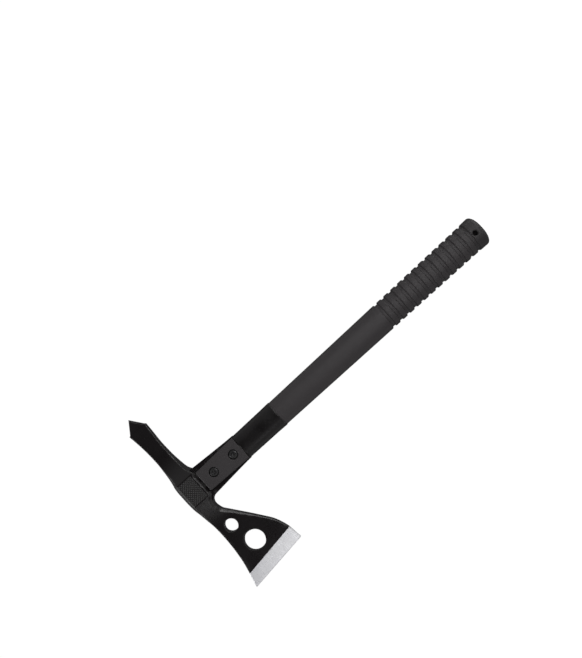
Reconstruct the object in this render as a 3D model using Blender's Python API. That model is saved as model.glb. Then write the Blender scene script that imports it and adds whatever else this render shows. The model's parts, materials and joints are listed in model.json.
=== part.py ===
"""A short one-hand breaching axe with a pick spike, lying on its side.

Every size is in millimetres in the tool's own frame: x runs from the pommel's end towards the
head, y from the handle's axis towards the cutting edge, and z through the thickness from the
mid-plane up. The empty tool_frame scales nothing: it only carries that frame to the world, whose
origin is the bottom centre of the whole tool. MM turns a size into metres where a vertex is made.
"""
import math

import bmesh
import bpy

MM = 0.001
GAP = 0.3                      # clearance between pieces that touch
PAST = 5.0                     # how far a cutter runs past the surface that it cuts

# Overall sizes
LENGTH = 399.5                 # pommel end to the outer corner of the cutting edge
HALF_DEPTH = 11.5              # half the tool's thickness: pommel, ferrule and boss
BLADE_REACH = 111.7            # handle axis to the outer corner of the cutting edge
SPIKE_REACH = 94.1             # handle axis to the spike's tip

# Handle: x, half-width and half-depth along the crests of the grip and the shaft
POMMEL_LENGTH = 5.6
POMMEL_FLAT = (2.0, 1.5)       # half-width and half-depth of the small flat on the end
POMMEL_STEPS = 6
SHAFT_END = 269.0
SHAFT_LINE = [
    (POMMEL_LENGTH, 16.2, 11.5), (12.5, 16.0, 11.5), (19.0, 15.8, 11.4), (SHAFT_END, 13.6, 10.9),
]
SHAFT_ROUNDING = (0.72, 1.0)   # corner radii as parts of the half-width and the half-depth
GROOVE_COUNT = 13
GROOVE_FIRST = 16.4
GROOVE_PITCH = 9.24
GROOVE_TOP = 4.8
GROOVE_BOTTOM = 2.4
GROOVE_DEPTH = 1.4
LANYARD_X = 10.9
LANYARD_RADIUS = 2.6
LANYARD_LIP = 0.6              # how deep the countersink at each end of the lanyard hole reaches

# Ferrule: x, half-width, half-depth, corner radii across and through
CHEEK_START = 317.1
FERRULE_LINE = [
    (SHAFT_END + GAP, 14.2, 11.5, 10.5, 11.3),
    (281.5, 13.9, 11.5, 10.5, 11.3),
    (297.0, 13.8, 11.5, 10.5, 11.0),
    (CHEEK_START - GAP, 13.6, 11.5, 10.0, 10.5),
]
FERRULE_WALL = 1.0
FERRULE_CHAMFER = 0.4

# Cheeks of the fork
CHEEK_END = 365.8
CHEEK_HALF_WIDTHS = (12.8, 11.4)
CHEEK_ROUNDING = 1.4
CHEEK_CHAMFER = 0.8

# Tang: x and half-width, all one thickness
TANG_HALF = 3.5
TANG_ROOT_X = 274.0
TANG_HIDDEN = [(TANG_ROOT_X, 7.5), (275.5, 9.0), (CHEEK_START + GAP, 11.2)]
TANG_SHOWN = [(CHEEK_START + GAP, 14.1), (328.6, 14.6), (352.0, 16.1), (367.0, 17.2),
              (370.5, 18.3), (373.5, 20.6), (379.0, 22.0)]

# Head: y, then the x of its edge towards the handle and of its outer edge
SPIKE_RIBS = [
    (-80.3, 371.8, 391.9), (-70.5, 372.4, 390.4), (-57.0, 373.4, 389.1), (-43.0, 373.4, 388.7),
    (-31.0, 372.7, 389.3), (-22.5, 371.9, 390.1), (-17.5, 369.9, 390.7), (-13.5, 367.6, 391.3),
    (-8.0, 367.1, 391.8), (0.0, 367.1, 391.9), (8.0, 367.1, 391.9), (13.5, 367.8, 391.6),
]
# Blade: the same two edges, each with its own y, because the last ribs turn with the edge
BLADE_RIBS = [
    ((371.5, 17.3), (391.5, 17.3)), ((374.2, 23.5), (390.9, 23.0)),
    ((372.0, 31.0), (390.1, 30.5)), ((366.0, 39.2), (389.2, 38.5)), ((357.4, 51.0), (388.9, 50.0)),
    ((349.0, 62.7), (389.4, 62.5)), ((342.1, 72.6), (390.4, 73.0)), ((338.0, 81.5), (392.1, 84.5)),
    ((335.6, 89.1), (395.0, 96.9)),
]
CUTTING_EDGE = ((333.5, 104.2), (LENGTH, BLADE_REACH))
CUTTING_HALF = 0.15
CUTTING_BREAK = 0.05
SPIKE_TIP_X = 381.9
SPIKE_SHOULDER = 80.3          # handle axis to where the spike narrows to its tip
# Tip of the spike: distance from its end, half-thickness, side wall and width of its side bevels
SPIKE_TIP = [(0.05, 0.25, 0.15, 0.02), (2.4, 2.6, 0.15, 1.6), (12.7, 3.2, 0.2, 1.6)]
RIB_STEPS = 3                  # ribs made from one listed rib to the next

# Half-thickness of the head by distance from the handle's axis
BOSS_REACH = 13.6
BOSS_BLEND_END = 46.0          # where the hollow sweep from the boss meets the blade or the spike
BREAK_BLEND_END = 38.0         # where the boss's broad edge breaks have narrowed to plain ones
SPIKE_HALF = (5.0, 3.2)        # at the end of the boss's blend, and at the shoulders
BLADE_HALF = (4.6, 2.7)        # at the end of the boss's blend, and where the edge is ground
BLADE_GRIND_START = 93.0
EDGE_BREAK = 0.7
BOSS_INNER_BREAK = 2.8
BOSS_OUTER_BREAK = 3.4
# Inner edge of the blade past the throat: its widest chamfer, and the y where that starts, is
# full and has faded
BEARD_BREAK = 2.9
BEARD_BREAK_SPAN = (26.0, 32.0, 62.0)
SPIKE_BREAK_SPAN = (9.0, 17.0) # the same towards the spike: where the boss's chamfer narrows

# Round holes in the blade: x, y, radius
BLADE_HOLES = [(368.6, 75.9, 10.6), (376.0, 49.8, 6.9)]
HOLE_BREAK = 0.3
HOLE_FLARE = 1.0               # how far a hole's cutter keeps flaring above the face

# Screws through the cheeks and the tang
SCREW_X = {"front": 326.6, "rear": 351.6}
SCREW_CLEARANCE = 2.8
COUNTERBORE_RADIUS = 4.95
COUNTERBORE_FLOOR = 7.4
WASHER_RADIUS = 4.65
WASHER_THICKNESS = 1.0
SCREW_RADIUS = 2.5
SCREW_POINT = 0.5              # chamfer on the screw's end
SCREW_HEAD_RADIUS = 4.65
SCREW_HEAD_HEIGHT = 2.4
SCREW_HEAD_RIM = 0.4           # straight edge below the dome of the head
SCREW_HEAD_FLAT = 2.25         # radius of the flat around the socket
SCREW_TIP_Z = -10.9
DOME_STEPS = 5
SOCKET_ACROSS_FLATS = 3.0
SOCKET_DEPTH = 1.7
NUT_ACROSS_FLATS = 8.0
NUT_TOP_Z = -6.3
NUT_HEIGHT = 4.6
NUT_BODY_HEIGHT = 3.2
NUT_COLLAR_RADIUS = 3.75
NUT_COLLAR_BREAK = 0.3
POCKET_FLOOR = -6.0
INSERT_RADII = (2.8, 3.25)
INSERT_INSET = 0.1             # between the insert's ends and the ends of its recess

CORNER_STEPS = 6
ROUND_SEGMENTS = 32


def clear_scene():
    for item in list(bpy.data.objects):
        bpy.data.objects.remove(item, do_unlink=True)


def principled(name, colour, roughness, metallic):
    material = bpy.data.materials.new(name)
    material.use_nodes = True
    shader = material.node_tree.nodes["Principled BSDF"]
    shader.inputs["Base Color"].default_value = (*colour, 1.0)
    shader.inputs["Roughness"].default_value = roughness
    shader.inputs["Metallic"].default_value = metallic
    material.diffuse_color = (*colour, 1.0)
    return material


def place(name, bm, parent, material=None, location=(0.0, 0.0, 0.0), sharp_degrees=30.0):
    """Turn a bmesh, in millimetres, into an object on the tool's frame."""
    bmesh.ops.scale(bm, vec=(MM, MM, MM), verts=bm.verts)
    bmesh.ops.recalc_face_normals(bm, faces=bm.faces)
    mesh = bpy.data.meshes.new(name)
    bm.to_mesh(mesh)
    bm.free()
    mesh.shade_smooth()
    mesh.set_sharp_from_angle(angle=math.radians(sharp_degrees))
    item = bpy.data.objects.new(name, mesh)
    bpy.context.collection.objects.link(item)
    item.parent = parent
    item.location = [value * MM for value in location]
    if material:
        mesh.materials.append(material)
    return item


def boolean(target, other, operation="DIFFERENCE"):
    """Combine target with a guide object, which stays out of the model."""
    other.hide_render = True
    other.display_type = "WIRE"
    modifier = target.modifiers.new(f"{operation.lower()} {other.name}", "BOOLEAN")
    modifier.operation = operation
    modifier.solver = "EXACT"
    modifier.object = other


def loft(bm, rings):
    """Skin closed rings of equal point count, and cap both ends."""
    rows = [[bm.verts.new(point) for point in ring] for ring in rings]
    for lower, upper in zip(rows, rows[1:]):
        count = len(lower)
        for index in range(count):
            after = (index + 1) % count
            bm.faces.new((lower[index], lower[after], upper[after], upper[index]))
    bm.faces.new(rows[0])
    bm.faces.new(rows[-1])


def rounded_section(x, half_width, half_depth, radius_y, radius_z):
    """Points of a rectangle with elliptical corners, in the plane at x."""
    points = []
    for quadrant in range(4):
        for step in range(CORNER_STEPS + 1):
            angle = math.radians(90.0 * (quadrant + step / CORNER_STEPS))
            side_y = 1.0 if quadrant in (0, 3) else -1.0
            side_z = 1.0 if quadrant in (0, 1) else -1.0
            y = side_y * (half_width - radius_y) + radius_y * math.cos(angle)
            z = side_z * (half_depth - radius_z) + radius_z * math.sin(angle)
            points.append((x, y, z))
    return points


def along(line, x):
    """Read a list of (x, values...) at x, with straight runs between its points."""
    for first, second in zip(line, line[1:]):
        if x <= second[0]:
            part = max(0.0, (x - first[0]) / (second[0] - first[0]))
            return [a + (b - a) * part for a, b in zip(first[1:], second[1:])]
    return list(line[-1][1:])


def smooth_step(value):
    value = min(1.0, max(0.0, value))
    return value * value * (3.0 - 2.0 * value)


def disc_cutter(bm, x, y, rings):
    """A turned solid about a vertical axis, from its (radius, z) profile."""
    profile = []
    for radius, z in rings:
        turn = [math.radians(360.0 * step / ROUND_SEGMENTS) for step in range(ROUND_SEGMENTS)]
        profile.append([(x + radius * math.cos(a), y + radius * math.sin(a), z) for a in turn])
    loft(bm, profile)


def hexagon(across_flats, z):
    radius = across_flats / math.sqrt(3.0)
    turn = [math.radians(60.0 * step) for step in range(6)]
    return [(radius * math.cos(a), radius * math.sin(a), z) for a in turn]


# Handle ------------------------------------------------------------------------------------------

def shaft_section(x, inset=0.0):
    half_width, half_depth = along(SHAFT_LINE, x)
    half_width -= inset
    half_depth -= inset
    return rounded_section(x, half_width, half_depth,
                           half_width * SHAFT_ROUNDING[0], half_depth * SHAFT_ROUNDING[1])


def pommel_sections():
    """The end's dome, from its small flat out to the full section."""
    _, full_width, full_depth = SHAFT_LINE[0]
    sections = []
    for step in range(POMMEL_STEPS):
        angle = math.radians(90.0 * step / POMMEL_STEPS)
        x = POMMEL_LENGTH * (1.0 - math.cos(angle))
        half_width = POMMEL_FLAT[0] + (full_width - POMMEL_FLAT[0]) * math.sin(angle)
        half_depth = POMMEL_FLAT[1] + (full_depth - POMMEL_FLAT[1]) * math.sin(angle)
        sections.append(rounded_section(x, half_width, half_depth,
                                        half_width * SHAFT_ROUNDING[0], half_depth))
    return sections


def grip_sections():
    """The crests of the grip and the flat-bottomed grooves between them."""
    sections = [shaft_section(x) for x, *_ in SHAFT_LINE[:2]]
    for number in range(GROOVE_COUNT):
        centre = GROOVE_FIRST + number * GROOVE_PITCH
        sections.append(shaft_section(centre - GROOVE_TOP / 2))
        sections.append(shaft_section(centre - GROOVE_BOTTOM / 2, GROOVE_DEPTH))
        sections.append(shaft_section(centre + GROOVE_BOTTOM / 2, GROOVE_DEPTH))
        sections.append(shaft_section(centre + GROOVE_TOP / 2))
    return sections


def neck_sections():
    """The stretch that the ferrule covers, clear of the ferrule's wall."""
    inset = FERRULE_WALL + GAP
    sections = []
    for x in (SHAFT_END, *[station[0] for station in FERRULE_LINE[1:-1]], CHEEK_START):
        half_width, half_depth, radius_y, radius_z = along(FERRULE_LINE, x)
        sections.append(rounded_section(x, half_width - inset, half_depth - inset,
                                        radius_y - inset, radius_z - inset))
    return sections


def cheek_sections():
    """The block that becomes the two cheeks of the fork, with its end edges broken."""
    first, last = CHEEK_HALF_WIDTHS
    return [
        rounded_section(CHEEK_START, first, HALF_DEPTH, CHEEK_ROUNDING, CHEEK_ROUNDING),
        rounded_section(CHEEK_END - CHEEK_CHAMFER, last, HALF_DEPTH,
                        CHEEK_ROUNDING, CHEEK_ROUNDING),
        rounded_section(CHEEK_END, last - CHEEK_CHAMFER, HALF_DEPTH - CHEEK_CHAMFER,
                        CHEEK_ROUNDING, CHEEK_ROUNDING),
    ]


def handle_cutters(frame):
    """Fork slot, lanyard hole, and each screw's hole, counterbore and nut pocket."""
    reach = HALF_DEPTH + PAST
    slot = bmesh.new()
    width, depth = CHEEK_HALF_WIDTHS[0] + PAST, TANG_HALF + GAP
    corners = [(-width, -depth), (width, -depth), (width, depth), (-width, depth)]
    loft(slot, [[(x, y, z) for y, z in corners] for x in (TANG_ROOT_X - 1.0, CHEEK_END + PAST)])
    cutters = [place("cut_fork_slot", slot, frame)]

    lanyard = bmesh.new()
    lip_low, lip_high = HALF_DEPTH - LANYARD_LIP, HALF_DEPTH + LANYARD_LIP
    lip_radius = LANYARD_RADIUS + lip_high - lip_low
    disc_cutter(lanyard, LANYARD_X, 0.0, [
        (lip_radius, -lip_high), (LANYARD_RADIUS, -lip_low),
        (LANYARD_RADIUS, lip_low), (lip_radius, lip_high)])
    cutters.append(place("cut_lanyard_hole", lanyard, frame))

    for label, x in SCREW_X.items():
        bore = bmesh.new()
        disc_cutter(bore, x, 0.0, [
            (SCREW_CLEARANCE, -reach), (SCREW_CLEARANCE, COUNTERBORE_FLOOR),
            (COUNTERBORE_RADIUS, COUNTERBORE_FLOOR), (COUNTERBORE_RADIUS, reach)])
        cutters.append(place(f"cut_{label}_screw_hole", bore, frame))
        pocket = bmesh.new()
        across = NUT_ACROSS_FLATS + 2 * GAP
        loft(pocket, [hexagon(across, -reach), hexagon(across, POCKET_FLOOR)])
        cutters.append(place(f"cut_{label}_nut_pocket", pocket, frame, location=(x, 0.0, 0.0)))
    return cutters


def make_handle(frame, material):
    bm = bmesh.new()
    sections = pommel_sections() + grip_sections()
    sections.append(shaft_section(SHAFT_END))
    loft(bm, sections + neck_sections() + cheek_sections())
    handle = place("handle", bm, frame, material)
    for cutter in handle_cutters(frame):
        boolean(handle, cutter)


# Ferrule -----------------------------------------------------------------------------------------

def make_ferrule(frame, material):
    """A thin steel sleeve over the neck, with its outer end edges broken."""
    bm = bmesh.new()
    outer = []
    first, *middle, last = [station[0] for station in FERRULE_LINE]
    stations = [(first, FERRULE_CHAMFER), (first + FERRULE_CHAMFER, 0.0)]
    stations += [(x, 0.0) for x in middle]
    stations += [(last - FERRULE_CHAMFER, 0.0), (last, FERRULE_CHAMFER)]
    for x, inset in stations:
        half_width, half_depth, radius_y, radius_z = along(FERRULE_LINE, x)
        outer.append(rounded_section(x, half_width - inset, half_depth - inset,
                                     radius_y - inset, radius_z - inset))
    inner = []
    for x, *_ in reversed(FERRULE_LINE):
        half_width, half_depth, radius_y, radius_z = along(FERRULE_LINE, x)
        inner.append(rounded_section(x, half_width - FERRULE_WALL, half_depth - FERRULE_WALL,
                                     radius_y - FERRULE_WALL, radius_z - FERRULE_WALL))
    rows = [[bm.verts.new(point) for point in ring] for ring in outer + inner]
    count = len(rows[0])
    for lower, upper in zip(rows, rows[1:] + rows[:1]):
        for index in range(count):
            after = (index + 1) % count
            bm.faces.new((lower[index], lower[after], upper[after], upper[index]))
    place("ferrule", bm, frame, material)


# Head --------------------------------------------------------------------------------------------

def head_half_thickness(y):
    """Thick over the boss, then a hollow sweep down to the thin blade or spike."""
    distance = abs(y)
    start, end = BLADE_HALF if y > 0 else SPIKE_HALF
    far = BLADE_GRIND_START if y > 0 else SPIKE_SHOULDER
    if distance < BOSS_BLEND_END:
        left = min(1.0, (BOSS_BLEND_END - distance) / (BOSS_BLEND_END - BOSS_REACH))
        return start + (HALF_DEPTH - start) * left * left
    part = min(1.0, (distance - BOSS_BLEND_END) / (far - BOSS_BLEND_END))
    return start + (end - start) * part


def edge_break(y, at_boss):
    """How far a long edge is chamfered: most at the boss, little elsewhere."""
    fade = smooth_step((abs(y) - BOSS_REACH) / (BREAK_BLEND_END - BOSS_REACH))
    return at_boss + (EDGE_BREAK - at_boss) * fade


def inner_break(y):
    """The chamfer of the head's inner edge, which widens again past the blade's throat."""
    if y < 0:
        start, end = SPIKE_BREAK_SPAN
        fade = smooth_step((-y - start) / (end - start))
        return BOSS_INNER_BREAK + (EDGE_BREAK - BOSS_INNER_BREAK) * fade
    start, full, end = BEARD_BREAK_SPAN
    share = (y - start) / (full - start) if y < full else (end - y) / (end - full)
    return edge_break(y, BOSS_INNER_BREAK) + (BEARD_BREAK - EDGE_BREAK) * smooth_step(share)


def rib(inner, outer, half, inner_break, outer_break, inner_wall=None, outer_wall=None):
    """One cross-section of the head: two faces, two side walls and the breaks between them."""
    inner_wall = half - inner_break if inner_wall is None else inner_wall
    outer_wall = half - outer_break if outer_wall is None else outer_wall
    length = math.dist(inner, outer)

    def at(distance, z):
        part = distance / length
        return (inner[0] + (outer[0] - inner[0]) * part, inner[1] + (outer[1] - inner[1]) * part, z)

    return [at(0.0, -inner_wall), at(inner_break, -half), at(length - outer_break, -half),
            at(length, -outer_wall), at(length, outer_wall), at(length - outer_break, half),
            at(inner_break, half), at(0.0, inner_wall)]


def spline(points, steps):
    """A Catmull-Rom curve through points, with its ends kept."""
    padded = [points[0]] + list(points) + [points[-1]]
    curve = []
    for index in range(1, len(padded) - 2):
        before, start, end, after = padded[index - 1:index + 3]
        for step in range(steps):
            u = step / steps
            curve.append(tuple(
                0.5 * (2 * b + (c - a) * u + (2 * a - 5 * b + 4 * c - d) * u * u
                       + (3 * b - a - 3 * c + d) * u * u * u)
                for a, b, c, d in zip(before, start, end, after)))
    curve.append(points[-1])
    return curve


def head_ribs():
    """Every cross-section, from the spike's tip to the cutting edge."""
    inner = [(x, y) for y, x, _ in SPIKE_RIBS] + [pair[0] for pair in BLADE_RIBS]
    outer = [(x, y) for y, _, x in SPIKE_RIBS] + [pair[1] for pair in BLADE_RIBS]
    inner = spline(inner, RIB_STEPS)
    outer = spline(outer, RIB_STEPS)

    sections = []
    # The tip: its flat faces end where the bevels from both sides meet.
    for distance, half, wall, bevel in SPIKE_TIP:
        part = distance / (SPIKE_REACH - SPIKE_SHOULDER)
        y = distance - SPIKE_REACH
        left = (SPIKE_TIP_X + (inner[0][0] - SPIKE_TIP_X) * part, y)
        right = (SPIKE_TIP_X + (outer[0][0] - SPIKE_TIP_X) * part, y)
        sections.append(rib(left, right, half, bevel, bevel, wall, wall))
    for near, far in zip(inner, outer):
        middle = (near[1] + far[1]) / 2
        sections.append(rib(near, far, head_half_thickness(middle),
                            inner_break(middle),
                            edge_break(middle, BOSS_OUTER_BREAK)))
    near, far = CUTTING_EDGE
    sections.append(rib(near, far, CUTTING_HALF, CUTTING_BREAK, CUTTING_BREAK))
    return sections


def make_tang(frame):
    """The flat bar that the fork clamps: narrow inside the ferrule, then a shoulder and a flare."""
    side = TANG_HIDDEN + TANG_SHOWN
    outline = side + [(x, -half_width) for x, half_width in reversed(side)]
    bm = bmesh.new()
    loft(bm, [[(x, y, z) for x, y in outline] for z in (-TANG_HALF, TANG_HALF)])
    return place("join_tang", bm, frame)


def make_head(frame, material):
    bm = bmesh.new()
    loft(bm, head_ribs())
    head = place("axe_head", bm, frame, material)
    boolean(head, make_tang(frame), "UNION")
    for number, (x, y, radius) in enumerate(BLADE_HOLES, start=1):
        face = head_half_thickness(y)
        hole = bmesh.new()
        flared = radius + HOLE_BREAK + HOLE_FLARE
        disc_cutter(hole, x, y, [
            (flared, -face - HOLE_FLARE), (radius, -face + HOLE_BREAK),
            (radius, face - HOLE_BREAK), (flared, face + HOLE_FLARE)])
        boolean(head, place(f"cut_blade_hole_{number}", hole, frame))
    for label, x in SCREW_X.items():
        bore = bmesh.new()
        disc_cutter(bore, x, 0.0, [(SCREW_CLEARANCE, -HALF_DEPTH), (SCREW_CLEARANCE, HALF_DEPTH)])
        boolean(head, place(f"cut_{label}_tang_hole", bore, frame))


# Fasteners ---------------------------------------------------------------------------------------

def turned(bm, profile):
    """A ring turned about the z axis from a closed (radius, z) profile."""
    turn = [math.radians(360.0 * step / ROUND_SEGMENTS) for step in range(ROUND_SEGMENTS)]
    rows = [[bm.verts.new((radius * math.cos(a), radius * math.sin(a), z)) for radius, z in profile]
            for a in turn]
    count = len(profile)
    for lower, upper in zip(rows, rows[1:] + rows[:1]):
        for index in range(count):
            after = (index + 1) % count
            bm.faces.new((lower[index], lower[after], upper[after], upper[index]))


def make_washer(label, x, frame, material):
    low = COUNTERBORE_FLOOR + GAP
    high = low + WASHER_THICKNESS
    bm = bmesh.new()
    turned(bm, [(SCREW_CLEARANCE, low), (WASHER_RADIUS, low), (WASHER_RADIUS, high),
                (SCREW_CLEARANCE, high)])
    place(f"{label}_washer", bm, frame, material, location=(x, 0.0, 0.0))


def make_screw(label, x, frame, material):
    """A button-head screw: its head's dome is a circular arc, with a hexagon socket."""
    seat = COUNTERBORE_FLOOR + WASHER_THICKNESS + 2 * GAP
    rim = seat + SCREW_HEAD_RIM
    profile = [(SCREW_RADIUS - SCREW_POINT, SCREW_TIP_Z),
               (SCREW_RADIUS, SCREW_TIP_Z + SCREW_POINT), (SCREW_RADIUS, seat),
               (SCREW_HEAD_RADIUS, seat), (SCREW_HEAD_RADIUS, rim)]
    for step in range(1, DOME_STEPS + 1):
        angle = math.radians(90.0 * step / DOME_STEPS)
        radius = SCREW_HEAD_FLAT + (SCREW_HEAD_RADIUS - SCREW_HEAD_FLAT) * math.cos(angle)
        profile.append((radius, rim + (SCREW_HEAD_HEIGHT - SCREW_HEAD_RIM) * math.sin(angle)))
    bm = bmesh.new()
    disc_cutter(bm, 0.0, 0.0, profile)
    screw = place(f"{label}_screw", bm, frame, material, location=(x, 0.0, 0.0))
    top = seat + SCREW_HEAD_HEIGHT
    socket = bmesh.new()
    loft(socket, [hexagon(SOCKET_ACROSS_FLATS, top - SOCKET_DEPTH),
                  hexagon(SOCKET_ACROSS_FLATS, top + 1.0)])
    boolean(screw, place(f"cut_{label}_socket", socket, frame, location=(x, 0.0, 0.0)))


def make_nut(label, x, frame, material):
    """A lock nut: a hexagon body with a round collar, bored, and stepped for its insert."""
    bottom = NUT_TOP_Z - NUT_BODY_HEIGHT
    end = NUT_TOP_Z - NUT_HEIGHT
    bm = bmesh.new()
    loft(bm, [hexagon(NUT_ACROSS_FLATS, bottom), hexagon(NUT_ACROSS_FLATS, NUT_TOP_Z)])
    nut = place(f"{label}_lock_nut", bm, frame, material, location=(x, 0.0, 0.0))
    middle = (bottom + NUT_TOP_Z) / 2
    collar = bmesh.new()
    disc_cutter(collar, 0.0, 0.0, [
        (NUT_COLLAR_RADIUS - NUT_COLLAR_BREAK, end), (NUT_COLLAR_RADIUS, end + NUT_COLLAR_BREAK),
        (NUT_COLLAR_RADIUS, middle)])
    boolean(nut, place(f"join_{label}_collar", collar, frame, location=(x, 0.0, 0.0)), "UNION")
    bore = bmesh.new()
    recess = INSERT_RADII[1] + GAP / 2
    step = bottom + GAP
    disc_cutter(bore, 0.0, 0.0, [(recess, end - PAST), (recess, step),
                                 (SCREW_CLEARANCE, step), (SCREW_CLEARANCE, 0.0)])
    boolean(nut, place(f"cut_{label}_nut_bore", bore, frame, location=(x, 0.0, 0.0)))


def make_insert(label, x, frame, material):
    """The nylon ring in the lock nut's collar."""
    inner, outer = INSERT_RADII
    high = NUT_TOP_Z - NUT_BODY_HEIGHT - INSERT_INSET
    low = NUT_TOP_Z - NUT_HEIGHT + INSERT_INSET
    bm = bmesh.new()
    turned(bm, [(inner, low), (outer, low), (outer, high), (inner, high)])
    place(f"{label}_nut_insert", bm, frame, material, location=(x, 0.0, 0.0))


def main():
    clear_scene()
    frame = bpy.data.objects.new("tool_frame", None)
    bpy.context.collection.objects.link(frame)
    frame.location = (-LENGTH / 2 * MM, -(BLADE_REACH - SPIKE_REACH) / 2 * MM, HALF_DEPTH * MM)

    nylon = principled("glass filled nylon", (0.041, 0.040, 0.042), 0.62, 0.0)
    coated = principled("black coated steel", (0.012, 0.012, 0.013), 0.42, 0.55)
    sleeve = principled("black oxide sleeve", (0.014, 0.014, 0.015), 0.30, 0.85)
    bolt_steel = principled("black oxide hardware", (0.030, 0.030, 0.032), 0.35, 0.90)
    insert = principled("natural nylon", (0.55, 0.56, 0.52), 0.50, 0.0)

    make_handle(frame, nylon)
    make_ferrule(frame, sleeve)
    make_head(frame, coated)
    for label, x in SCREW_X.items():
        make_screw(label, x, frame, bolt_steel)
        make_washer(label, x, frame, bolt_steel)
        make_nut(label, x, frame, bolt_steel)
        make_insert(label, x, frame, insert)


main()
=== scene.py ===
"""The looks of a short one-hand breaching axe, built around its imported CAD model.

Shapes are in millimetres in the tool's own frame: x runs from the pommel's end towards the head,
y from the handle's axis towards the cutting edge, and z through the thickness from the mid-plane
up. put() carries a finished shape into the frame's metres. The tool frame's origin and the
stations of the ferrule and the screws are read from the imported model.
"""

import json
import math

import bmesh
import bpy
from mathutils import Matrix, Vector

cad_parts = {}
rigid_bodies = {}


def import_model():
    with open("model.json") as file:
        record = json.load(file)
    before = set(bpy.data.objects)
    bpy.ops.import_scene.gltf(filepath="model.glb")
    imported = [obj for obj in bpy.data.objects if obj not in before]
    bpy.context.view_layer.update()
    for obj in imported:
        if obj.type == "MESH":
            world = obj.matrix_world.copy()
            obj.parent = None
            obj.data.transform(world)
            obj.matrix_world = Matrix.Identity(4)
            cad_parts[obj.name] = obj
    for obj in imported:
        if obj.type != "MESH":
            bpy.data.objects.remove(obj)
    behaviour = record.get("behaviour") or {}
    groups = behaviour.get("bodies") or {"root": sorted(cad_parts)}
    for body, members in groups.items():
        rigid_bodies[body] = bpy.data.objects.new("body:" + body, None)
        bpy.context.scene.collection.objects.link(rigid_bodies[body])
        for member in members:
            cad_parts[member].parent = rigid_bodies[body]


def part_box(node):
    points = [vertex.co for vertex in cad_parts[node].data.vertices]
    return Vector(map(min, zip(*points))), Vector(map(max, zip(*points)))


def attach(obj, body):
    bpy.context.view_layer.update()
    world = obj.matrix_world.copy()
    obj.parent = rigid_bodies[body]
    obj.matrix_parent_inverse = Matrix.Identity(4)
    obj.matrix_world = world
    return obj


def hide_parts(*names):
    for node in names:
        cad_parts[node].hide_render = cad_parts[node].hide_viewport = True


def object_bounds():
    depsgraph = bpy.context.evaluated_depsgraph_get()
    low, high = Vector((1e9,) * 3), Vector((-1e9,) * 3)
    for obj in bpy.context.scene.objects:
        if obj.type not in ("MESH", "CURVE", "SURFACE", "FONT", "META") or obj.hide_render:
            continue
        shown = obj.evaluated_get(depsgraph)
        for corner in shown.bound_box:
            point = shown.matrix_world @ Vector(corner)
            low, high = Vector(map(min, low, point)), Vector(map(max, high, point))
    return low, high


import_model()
cad_low, cad_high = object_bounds()

MM = 0.001
GAP = 0.3  # clearance between pieces that touch
PAST = 5.0  # how far a cutter runs past the surface
NEAR_PAST = 1.0  # the same where another surface is close
HAIR = 0.01  # keeps a bend of a cutter off the surface

ferrule_low, ferrule_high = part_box("ferrule")
ORIGIN = Vector((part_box("handle")[0].x, (ferrule_low.y + ferrule_high.y) / 2,
                 (ferrule_low.z + ferrule_high.z) / 2))
LENGTH = (cad_high.x - cad_low.x) / MM
HALF_DEPTH = (cad_high.z - cad_low.z) / 2 / MM
BLADE_REACH = (cad_high.y - ORIGIN.y) / MM
SPIKE_REACH = (ORIGIN.y - cad_low.y) / MM
SHAFT_END = (ferrule_low.x - ORIGIN.x) / MM - GAP
CHEEK_START = (ferrule_high.x - ORIGIN.x) / MM + GAP
CHEEK_END = (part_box("handle")[1].x - ORIGIN.x) / MM
TANG_ROOT_X = (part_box("axe_head")[0].x - ORIGIN.x) / MM
SCREW_X = {}  # x of each screw's axis
for label in ("front", "rear"):
    low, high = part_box(f"{label}_screw")
    SCREW_X[label] = ((low.x + high.x) / 2 - ORIGIN.x) / MM

# Handle: x, half-width and half-depth along the crests of the grip and the shaft
POMMEL_LENGTH = 5.6
POMMEL_FLAT = (2.0, 1.5)  # half-width and half-depth of the flat at its very end
POMMEL_STEPS = 20
GRIP_STATIONS = [POMMEL_LENGTH, 8.5, 11.0, 13.5]  # rings from the pommel to the first groove
SHAFT_LINE = [
    (POMMEL_LENGTH, 16.2, 11.5), (12.5, 16.0, 11.5), (19.0, 15.8, 11.4), (SHAFT_END, 13.6, 10.9),
]
SHAFT_POWER = 2.4  # exponent of the superellipse of its section
SHAFT_STEP = 3.0  # between the rings of the plain shaft
GROOVE_STEP = 0.2  # between the rings of a groove
GROOVE_COUNT = 13
GROOVE_FIRST = 16.4  # x of the middle of the first groove
GROOVE_PITCH = 9.24
GROOVE_TOP = 4.8  # width of a groove at its mouth
GROOVE_BOTTOM = 2.4  # and at its floor
GROOVE_DEPTH = 1.4
PARTING_HEIGHT = 0.09  # the mould's parting line stands this proud of the sides
PARTING_ANGLE = 0.005  # half of the parting line's angle in a section
PARTING_BESIDE = (0.004, 0.0095, 0.022)  # angles of extra points on each side of it
SECTION_STEPS = 22  # points in a quarter of a section
LANYARD_X = 10.9
LANYARD_RADIUS = 2.6
LANYARD_LIP = 0.8  # round-over of the hole's mouths

# Ferrule: x, half-width, half-depth and the exponent of its section
FERRULE_LINE = [
    (SHAFT_END + GAP, 14.2, 11.5, 2.35), (281.5, 13.9, 11.5, 2.4), (297.0, 13.8, 11.5, 2.45),
    (CHEEK_START - GAP, 13.6, 11.5, 2.55),
]
FERRULE_WALL = 1.0
FERRULE_BREAK = 0.5  # radius of its rolled ends
FERRULE_STEPS = 12  # bands along its length
ROLL_STEPS = 4  # bands on a rolled end

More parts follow.
